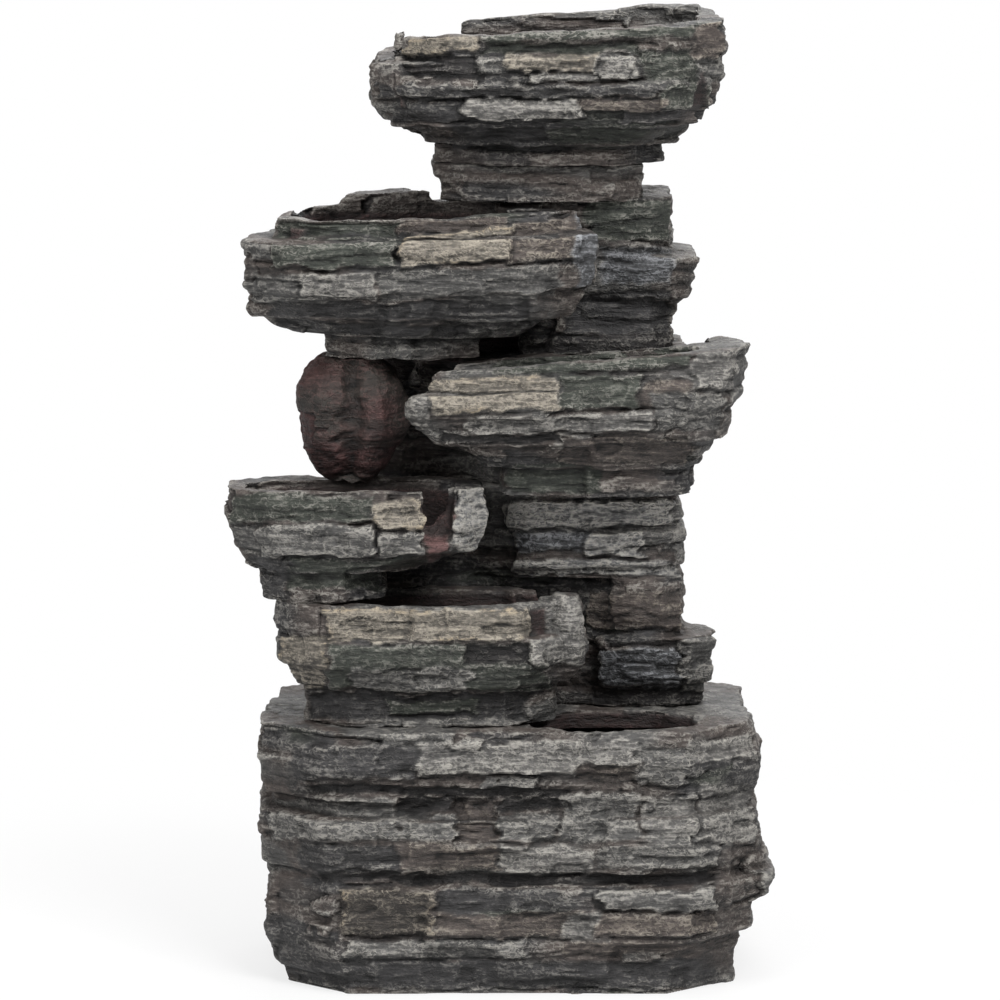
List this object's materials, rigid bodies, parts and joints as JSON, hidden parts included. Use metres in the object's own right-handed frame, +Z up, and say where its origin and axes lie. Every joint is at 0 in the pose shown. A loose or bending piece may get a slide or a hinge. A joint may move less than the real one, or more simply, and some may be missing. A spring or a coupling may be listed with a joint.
{
  "type": "rockery fountain",
  "caption": "Free-standing garden fountain of stacked slate-look castings whose bowls spill from side to side into a base reservoir, with a submersible pump behind a rear door.",
  "frame": {"origin": "middle of the bounding box's footprint, on the ground", "axes": "+Z up, the front with the spilling bowls faces -Y, +X to the right as seen from the front"},
  "size_m": [0.5669, 0.3976, 0.9987],
  "materials": {
    "slate": "polyresin, painted as dark slate and dry-brushed with off-white and ochre",
    "red_rock": "polyresin, painted as a red-brown boulder",
    "screw_steel": "plain stainless steel",
    "black_rubber": "matt black rubber",
    "pump_plastic": "black moulded plastic",
    "impeller_plastic": "white moulded plastic",
    "dial_plastic": "dark grey moulded plastic",
    "shaft_ceramic": "ground ceramic",
    "hose_vinyl": "black vinyl hose",
    "fitting_plastic": "black moulded plastic"
  },
  "bodies": {
    "fountain": {"base_basin": "slate", "lower_column": "slate", "lower_bowl": "slate", "mid_left_bowl": "slate", "boulder": "red_rock", "mid_right_bowl": "slate", "upper_left_bowl": "slate", "upper_column": "slate", "neck_slab": "slate", "top_bowl": "slate", "pump_body": "pump_plastic", "suction_cups": "black_rubber", "cable_gland": "black_rubber", "pump_volute": "pump_plastic", "volute_seal": "black_rubber", "impeller_shaft": "shaft_ceramic", "shaft_bushes": "black_rubber", "outlet_barb": "pump_plastic", "supply_hose": "hose_vinyl", "hose_clamps": "screw_steel", "spout_fitting": "fitting_plastic", "spout_seal": "black_rubber", "spout_nut": "fitting_plastic"},
    "door": {"access_door": "slate", "door_screws": "screw_steel"},
    "plug": {"drain_plug": "black_rubber"},
    "impeller": {"pump_impeller": "impeller_plastic"},
    "strainer": {"intake_cover": "pump_plastic"},
    "dial": {"flow_dial": "dial_plastic"}
  },
  "joints": [
    {"name": "access_door_pull", "type": "slide", "parent": "fountain", "child": "door", "axis": [0, 1, 0], "range_m": [0, 0.15]},
    {"name": "drain_plug_pull", "type": "slide", "parent": "fountain", "child": "plug", "axis": [0, 1, 0], "range_m": [0, 0.05]},
    {"name": "impeller_spin", "type": "hinge", "parent": "fountain", "child": "impeller", "pos_m": [0.11, 0.058, 0.055], "axis": [0, 1, 0], "continuous": true},
    {"name": "intake_cover_pull", "type": "slide", "parent": "fountain", "child": "strainer", "axis": [0, -1, 0], "range_m": [0, 0.05]},
    {"name": "flow_dial_turn", "type": "hinge", "parent": "strainer", "child": "dial", "pos_m": [0.11, 0.0147, 0.055], "axis": [0, -1, 0], "range_deg": [0, 90]}
  ]
}
